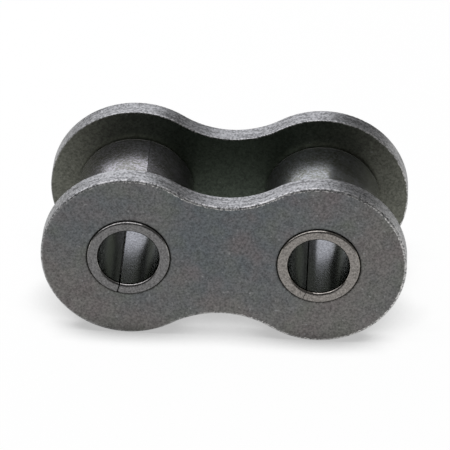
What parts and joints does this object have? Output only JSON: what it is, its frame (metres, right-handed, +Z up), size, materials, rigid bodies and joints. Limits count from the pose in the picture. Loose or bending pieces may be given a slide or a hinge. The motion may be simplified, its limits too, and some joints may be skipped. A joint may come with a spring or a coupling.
{
  "type": "roller chain inner link",
  "caption": "Inner link of a single-strand roller chain: waisted link plates pressed on curled bushings, with free-turning rollers between them and open bores for the chain's pins.",
  "frame": {"origin": "midway between the axes of the two bores, halfway between the two plates", "axes": "+X along the pitch line towards the right bore, +Y along the bores towards the rear plate, +Z up with the link standing on the edges of its plates"},
  "size_m": [0.049, 0.0226, 0.0234],
  "materials": {
    "plate_steel": "satin, dark from heat treatment",
    "bushing_steel": "satin, ground outside",
    "roller_steel": "satin, tumbled"
  },
  "bodies": {
    "link": {"front_plate": "plate_steel", "rear_plate": "plate_steel", "left_bushing": "bushing_steel", "right_bushing": "bushing_steel"},
    "left_roller": {"left_roller": "roller_steel"},
    "right_roller": {"right_roller": "roller_steel"}
  },
  "joints": [
    {"name": "left_roller_spin", "type": "hinge", "parent": "link", "child": "left_roller", "pos_m": [-0.0127, 0, 0], "axis": [0, 1, 0], "continuous": true},
    {"name": "right_roller_spin", "type": "hinge", "parent": "link", "child": "right_roller", "pos_m": [0.0127, 0, 0], "axis": [0, 1, 0], "continuous": true}
  ]
}
